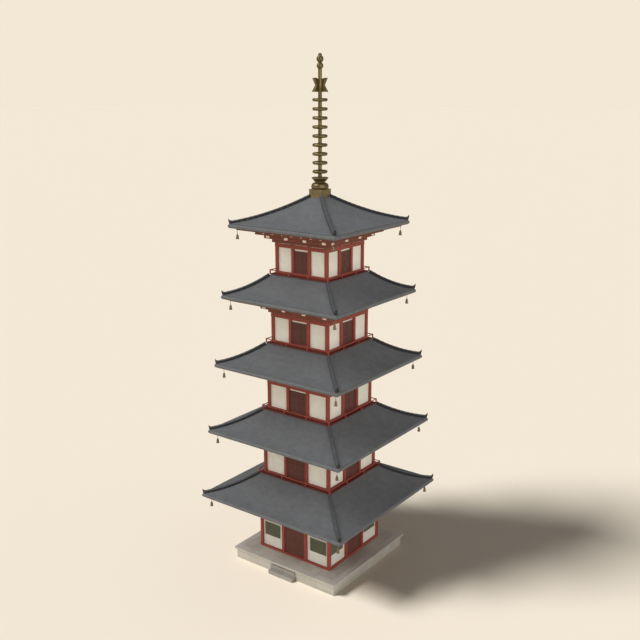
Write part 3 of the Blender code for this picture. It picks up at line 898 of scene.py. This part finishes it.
def eave_timber(storey):
    """Soffit boards on parallel rafters, an edge board, hip rafters and the four wind bells."""
    inner = column_line(storey) - TIMBER_INNER
    outer = eave_half(storey) - SOFFIT_INSET
    made = Shape(storey_lift(storey))
    low, boards_low = SOFFIT_BOTTOM, SOFFIT_BOTTOM + 0.10
    top = EAVE_BOTTOM - GAP
    made.square_ring(((inner, boards_low), (outer, boards_low), (outer, top), (inner, top)))

    def rafters():
        w = RAFTER_HALF
        count = int((outer - 0.05) / RAFTER_PITCH)
        for i in range(-count, count + 1):
            x = RAFTER_PITCH * i
            start = max(inner, abs(x) + 0.09)
            if start < outer - 0.06:
                made.block((x - w, -outer + 0.045, low + 0.005), (x + w, -start, boards_low + 0.01), 0.006)
        near = outer - 0.04
        edge = [(outer, -outer, low), (near, -near, low), (-near, -near, low), (-outer, -outer, low)]
        made.prism(edge, (0, 0, 0.11))
        across = Vector((1, 1, 0)).normalized() * 0.075
        foot, end = [Vector((half, -half, low)) for half in (inner, outer - 0.03)]
        made.prism([foot - across, end - across, end + across, foot + across], (0, 0, 0.11))

    made.on_sides(rafters)
    foot = BELL_BOTTOM
    crown = foot + BELL_HEIGHT
    body = (
        (0.93, foot + 0.002), (1, foot + 0.010), (0.97, foot + 0.03), (0.84, foot + 0.09),
        (0.76, foot + 0.16), (0.68, foot + 0.22), (0.52, crown - 0.045), (0.30, crown - 0.015),
    )
    outline = [(BELL_RADIUS * share, z) for share, z in body]
    outline += [(0.022, crown - 0.004), (0.014, crown + 0.02), (0.013, low + 0.03)]
    spot = bell_line(storey)
    for x, y in ((-spot, -spot), (spot, -spot), (spot, spot), (-spot, spot)):
        made.turned(outline, 20, (x, y), 1)
    piece(
        "roof_%d_rafters_and_bells" % storey, made, [eave_wood, bell_bronze],
        replaces=["roof_%d_eaves" % storey], smooth=32,
    )


def clipped(outline, keep):
    """The part of a flat outline where keep is positive; keep is linear in (x, half)."""
    made = []
    for i, point in enumerate(outline):
        after = outline[(i + 1) % len(outline)]
        here, there = keep(point), keep(after)
        if here >= 0:
            made.append(point)
        if (here > 0 > there) or (here < 0 < there):
            t = here / (here - there)
            made.append((point[0] + (after[0] - point[0]) * t, point[1] + (after[1] - point[1]) * t))
    return made


def roof_profile(storey):
    """Half widths of the course edges, from the eave up, equally spaced along the slope."""
    outer = eave_half(storey) - 0.045
    stop = roof_half(storey, roof_crest(storey)) - 0.02
    steps_up = 240
    halves = [outer + (stop - outer) * i / steps_up for i in range(steps_up + 1)]
    lengths = [0.0]
    for a, b in pairwise(halves):
        lengths.append(lengths[-1] + math.hypot(b - a, roof_height(storey, b) - roof_height(storey, a)))
    rows = round(lengths[-1] / COURSE)
    marks = []
    k = 0
    for i in range(rows + 1):
        want = lengths[-1] * i / rows
        while k < steps_up and lengths[k] < want - 1e-9:
            k += 1
        marks.append(halves[k])
    return marks


def add_tile(made, outline, storey, near, far, lift):
    """One flat tile: its top, raised at its lower end, with thin edges down to the layer below."""
    tops, feet = [], []
    for x, half in outline:
        t = (near - half) / (near - far)
        z = roof_height(storey, near) * (1 - t) + roof_height(storey, far) * t
        tops.append((x, -half, z + (lift * (1 - t) + 0.001 * t)))
        feet.append((x, -half, z - 0.006))
    n = len(outline)
    faces = [list(range(n))]
    faces += [[i, (i + 1) % n, n + (i + 1) % n, n + i] for i in range(n)]
    made.add(tops + feet, faces)


def roof(storey):
    """The roof shell, its flat tiles in staggered courses, and the rounded eave tiles."""
    rng = random.Random(60 + storey)
    outer = eave_half(storey)
    crest = roof_crest(storey)
    stop = roof_half(storey, crest)
    marks = roof_profile(storey)
    made = Shape(storey_lift(storey))
    inner = TOP_ROOF_INNER if storey == STOREYS else rail_line(storey + 1) - ROOF_INNER
    bend = outer - FLAT_BEARING
    nose = (outer - NOSE, EAVE_BOTTOM + NOSE)
    outline = [(inner, crest - SHELL_TOP)]
    for i in range(1, 9):
        half = stop + (bend - stop) * i / 9
        outline.append((half, min(roof_height(storey, half) - SHELL, crest - SHELL_TOP)))
    outline.append((bend, EAVE_BOTTOM))
    outline += arc(nose, (NOSE, NOSE), -90, 60, 8)
    outline += [(half, roof_height(storey, half) - 0.004) for half in marks[1:]]
    outline.append((inner, crest - 0.004))
    made.square_ring(outline)

    def courses():
        for row, (near, far) in enumerate(pairwise(marks)):
            shift = TILE_WIDTH / 2 if row % 2 else 0.0
            count = int((near + shift) / TILE_WIDTH) + 1
            for i in range(-count, count + 1):
                a = i * TILE_WIDTH + shift + TILE_GAP
                b = (i + 1) * TILE_WIDTH + shift - TILE_GAP
                tile = [(a, near), (b, near), (b, far), (a, far)]
                tile = clipped(tile, lambda p: p[1] - 0.01 - p[0])
                tile = clipped(tile, lambda p: p[1] - 0.01 + p[0])
                if len(tile) > 2:
                    wander = rng.uniform(-0.0015, 0.0015)
                    add_tile(made, tile, storey, near, far, TILE_LIFT + wander)

    def eave_tiles():
        loop = arc(nose, [NOSE + EAVE_TILE_LIFT] * 2, 66, -84, 12)
        loop += arc(nose, [NOSE - 0.004] * 2, -84, 66, 12)
        count = int(outer / TILE_WIDTH) + 1
        for i in range(-count, count + 1):
            a, b = i * TILE_WIDTH + TILE_GAP, (i + 1) * TILE_WIDTH - TILE_GAP
            if a < outer and b > -outer:
                ends = [[(max(-half, min(half, x)), -half, z) for half, z in loop] for x in (a, b)]
                if max(far[0] - near[0] for near, far in zip(*ends)) > 0.01:
                    made.loft(ends)

    def side():
        courses()
        eave_tiles()

    made.on_sides(side)
    name = "roof_%d_tile" % storey
    piece(name + "_courses", made, [tiles], replaces=[name + "s"], smooth=25)


def hip_ridges(storey):
    """Layered ridge tiles under a round cap, with an upturned end tile; the layers and end tile are coloured
    darker than the cap, painted shade.
    """
    outer = eave_half(storey)
    start = rail_line(storey + 1) + 0.016 if storey < STOREYS else BASE_HALF - 0.05
    eave = roof_height(storey, outer)
    stop = outer - 0.10
    made = Shape(storey_lift(storey))
    across = Vector((1, 1, 0)).normalized()
    along = Vector((1, -1, 0)).normalized()

    def section_at(half, section, scale=1.0):
        """A (sideways, upward) outline set square to the hip at one place along it."""
        spot = Vector((half, -half, roof_height(storey, half)))
        fall = roof_height(storey, half - 0.05) - roof_height(storey, half + 0.05)
        slope = fall / (0.10 * math.sqrt(2))
        rise = Vector((along.x * slope, along.y * slope, 1.0)).normalized()
        return [spot + across * a * scale + rise * b * scale for a, b in section]

    layers = [
        [(-wide, low), (-wide, high), (wide, high), (wide, low)]
        for wide, low, high in ((0.096, -0.05, 0.040), (0.090, 0.032, 0.080), (0.096, 0.072, 0.116))
    ]
    cap = arc((0, 0.112), (0.106, 0.038), 0, 180, 9)
    length = (stop - start) * math.sqrt(2)

    def hip():
        for number, layer in enumerate(layers):
            count = max(1, round(length / RIDGE_TILE))
            shift = 0.5 if number % 2 else 0.0
            joints = [(i + shift) / count for i in range(count + 1) if 0 < i + shift < count]
            for a, b in pairwise([0.0, *joints, 1.0]):
                ends = [start + (stop - start) * t for t in (a, (a + b) / 2, b - 0.004)]
                made.loft([section_at(half, layer) for half in ends])
        for a, b in shares(0.0, 1.0, RIDGE_CAP_TILE / length):
            near, far = [start + (stop - start) * t for t in (a, b)]
            lip = far - (far - near) * 0.16
            places = ((near, 0.97), (lip, 0.97), (lip, 1.05), (far - 0.003, 1.05))
            made.loft([section_at(half, cap, scale) for half, scale in places], 1)
        horn = (
            (outer - 0.20, roof_height(storey, outer - 0.20) + 0.06, 0.090, 0.078),
            (outer - 0.13, roof_height(storey, outer - 0.13) + 0.07, 0.105, 0.082),
            (outer - 0.080, eave + 0.10, 0.120, 0.080),
            (outer - 0.052, eave + 0.155, 0.118, 0.074),
            (outer - 0.036, eave + 0.215, 0.092, 0.070),
            (outer - 0.031, eave + 0.258, 0.066, 0.066),
            (outer - 0.029, eave + 0.284, 0.036, 0.056),
        )
        loops = []
        turns = [math.pi / 6 * i for i in range(12)]
        for half, z, tall, wide in horn:
            centre = Vector((half, -half, z))
            loops.append([
                centre + across * wide * math.cos(turn) + Vector((0, 0, tall * math.sin(turn)))
                for turn in turns
            ])
        made.loft(loops)

    made.on_sides(hip)
    piece("roof_%d_ridge_tiles" % storey, made, [shaded_ridge_tiles, ridge_caps], smooth=40)


def spire():
    """A square box, a bowl and dish, a mast with rings and plates, and a ball and jewel."""
    low = storey_lift(STOREYS) + roof_crest(STOREYS) + GAP
    h = BASE_HALF
    base = Shape()
    base.square_ring([
        (0.0001, low), (h, low), (h, low + 0.05), (h - 0.006, low + 0.056), (h - 0.006, BASE_TOP - 0.056),
        (h, BASE_TOP - 0.05), (h, BASE_TOP - 0.008), (h - 0.008, BASE_TOP), (0.0001, BASE_TOP),
    ])
    piece("spire_base_box", base, [base_bronze], replaces=["spire_base"])
    foot = BASE_TOP + GAP
    bowls = Shape()
    outline = [(0.46, foot), (0.476, foot + 0.012)]
    outline += arc((0.30, foot + 0.14), (0.225, 0.235), -30, 75, 14)
    neck = foot + 0.43
    outline += [(NECK_RADIUS, foot + 0.395), (NECK_RADIUS, neck)]
    flare = DISH_RADIUS - NECK_RADIUS
    for t in (0.15, 0.4, 0.7, 1.0):
        outline.append((NECK_RADIUS + flare * t ** 0.8, neck + (DISH_TOP - neck) * t ** 1.3))
    for inset, rise in ((0.004, 0.016), (0.015, 0.025), (0.04, 0.014), (0.09, 0.0)):
        outline.append((DISH_RADIUS - inset, DISH_TOP + rise))
    bowls.turned(outline, 64)
    piece("spire_bowl_and_dish", bowls, [bronze], replaces=["spire_bowls"], smooth=45)

    mast = Shape()
    collars = [(MAST_RADIUS, DISH_TOP + GAP)]
    heights = [RING_FIRST + RING_PITCH * i for i in range(RING_COUNT)]
    wide = MAST_RADIUS + 0.012
    for z in heights:
        collars += [(MAST_RADIUS, z - 0.085), (wide, z - 0.075), (wide, z + 0.075), (MAST_RADIUS, z + 0.085)]
    collars += [(MAST_RADIUS, MAST_TOP)]
    mast.turned(collars, 32)
    for z in heights:
        mast.turned(arc((RING_RADIUS, z), (RING_TUBE, RING_TUBE), 0, 345, 23), 56, closed=True)
        spoke = (0.10, -0.022, z - 0.022), (RING_RADIUS - 0.06, 0.022, z + 0.022), 0.006
        mast.on_sides(lambda: mast.block(*spoke))
    piece("spire_mast_and_rings", mast, [bronze], replaces=["spire_mast"], smooth=40)

    fins = Shape()
    low, high = FIN_OUTLINE[0][1], FIN_OUTLINE[-1][1]
    r = MAST_RADIUS
    fins.turned([
        (r + GAP, low - 0.01), (r + 0.014, low - 0.01), (r + SLEEVE, low), (r + SLEEVE, high),
        (r + 0.014, high + 0.01), (r + GAP, high + 0.01),
    ], 32, closed=True)

    def fin():
        centre = Vector((0.31, 0, 29.9))
        loops = []
        for y, inset in ((-0.025, 0.010), (-0.016, 0.0), (0.016, 0.0), (0.025, 0.010)):
            loops.append([
                Vector((p[0], y, p[1])) + (centre - Vector((p[0], 0, p[1]))).normalized() * inset
                for p in FIN_OUTLINE
            ])
        fins.loft(loops)

    fins.on_sides(fin)
    piece("spire_fin_plates", fins, [bronze], replaces=["spire_fins"], smooth=35)

    jewels = Shape()
    centre = MAST_TOP + GAP + BALL_RADIUS * math.sin(math.radians(BALL_FOOT))
    outline = arc((0, centre), (BALL_RADIUS, BALL_RADIUS), -BALL_FOOT, 62, 18)
    outline += arc((0, JEWEL_CENTRE), JEWEL_RADII, -62, 48, 18)
    outline += JEWEL_TIP
    jewels.turned(outline, 48)
    piece("spire_ball_and_jewel", jewels, [bronze], replaces=["spire_jewels"], smooth=40)


def backdrop():
    """The floor's colour at the horizon, and grey overhead."""
    world = bpy.data.worlds.new("studio")
    bpy.context.scene.world = world
    world.use_nodes = True
    tree = world.node_tree
    place = tree.nodes.new("ShaderNodeTexCoord")
    parts = tree.nodes.new("ShaderNodeSeparateXYZ")
    ramp = tree.nodes.new("ShaderNodeValToRGB")
    tree.links.new(place.outputs["Generated"], parts.inputs[0])
    tree.links.new(parts.outputs["Z"], ramp.inputs[0])
    for stop, height, colour in zip(ramp.color_ramp.elements, (0.11, 0.24), (AIR, ZENITH)):
        stop.position = height
        stop.color = (*colour, 1.0)
    tree.links.new(ramp.outputs[0], tree.nodes["Background"].inputs["Color"])


def pale_floor():
    """A matt floor that looks as bright as the horizon, under the light that falls on it."""
    far = FLOOR_REACH
    mesh = bpy.data.meshes.new("pale_floor")
    mesh.from_pydata([(-far, -far, 0), (far, -far, 0), (far, far, 0), (-far, far, 0)], [], [[0, 1, 2, 3]])
    made = Look("pale_floor", specular=0.0)
    made.shader.inputs["Roughness"].default_value = 1.0
    open_light = SKY_SHARE + sum(sun[3] for sun in SUNS if sun[5] == "floor")
    made.shader.inputs["Base Color"].default_value = (*[c / open_light for c in AIR], 1.0)
    mesh.materials.append(made.material)
    ground = new_object("pale_floor", mesh)
    return ground


def lamps(ground):
    """Soft suns, each on the floor, the podium, the whole model or the tower alone."""
    names = ("podium_base_blocks", "podium_paving_stones", "front_steps_stones")
    stones = [bpy.data.objects[name] for name in names]
    lit = {}
    for kind, held, state in (
        ("floor", [ground], "INCLUDE"), ("podium", stones, "INCLUDE"),
        ("model", [ground], "EXCLUDE"), ("tower", [ground] + stones, "EXCLUDE"),
    ):
        lit[kind] = bpy.data.collections.new("light_on_" + kind)
        for obj in held:
            lit[kind].objects.link(obj)
        for entry in lit[kind].collection_objects:
            entry.light_linking.link_state = state
    for name, bearing, height, share, spread, kind in SUNS:
        turn, tall = math.radians(bearing), math.radians(height)
        lamp = bpy.data.lights.new(name, "SUN")
        lamp.energy = share * math.pi / math.sin(tall)
        lamp.angle = math.radians(spread)
        back = Vector((math.cos(turn) * math.cos(tall), math.sin(turn) * math.cos(tall), math.sin(tall)))
        holder = new_object(name, lamp)
        holder.rotation_mode = "QUATERNION"
        holder.rotation_quaternion = back.to_track_quat("Z", "Y")
        holder.light_linking.receiver_collection = lit[kind]


def camera():
    lens = bpy.data.cameras.new("photo_camera")
    lens.lens = LENS
    lens.sensor_width = SENSOR
    lens.clip_start = 1.0
    lens.clip_end = 6000.0
    holder = new_object("photo_camera", lens)
    holder.location = CAMERA_PLACE
    holder.rotation_mode = "QUATERNION"
    aim = Vector(CAMERA_AIM) - holder.location
    holder.rotation_quaternion = aim.to_track_quat("-Z", "Y")
    bpy.context.scene.camera = holder
    bpy.context.scene.view_settings.view_transform = "Standard"


podium()
steps()
ground_storey()
windows()
opening_doors()
for level in range(2, STOREYS + 1):
    upper_storey(level)
for level in range(1, STOREYS + 1):
    bracket_work(level)
    eave_timber(level)
    roof(level)
    hip_ridges(level)
spire()
backdrop()
lamps(pale_floor())
camera()
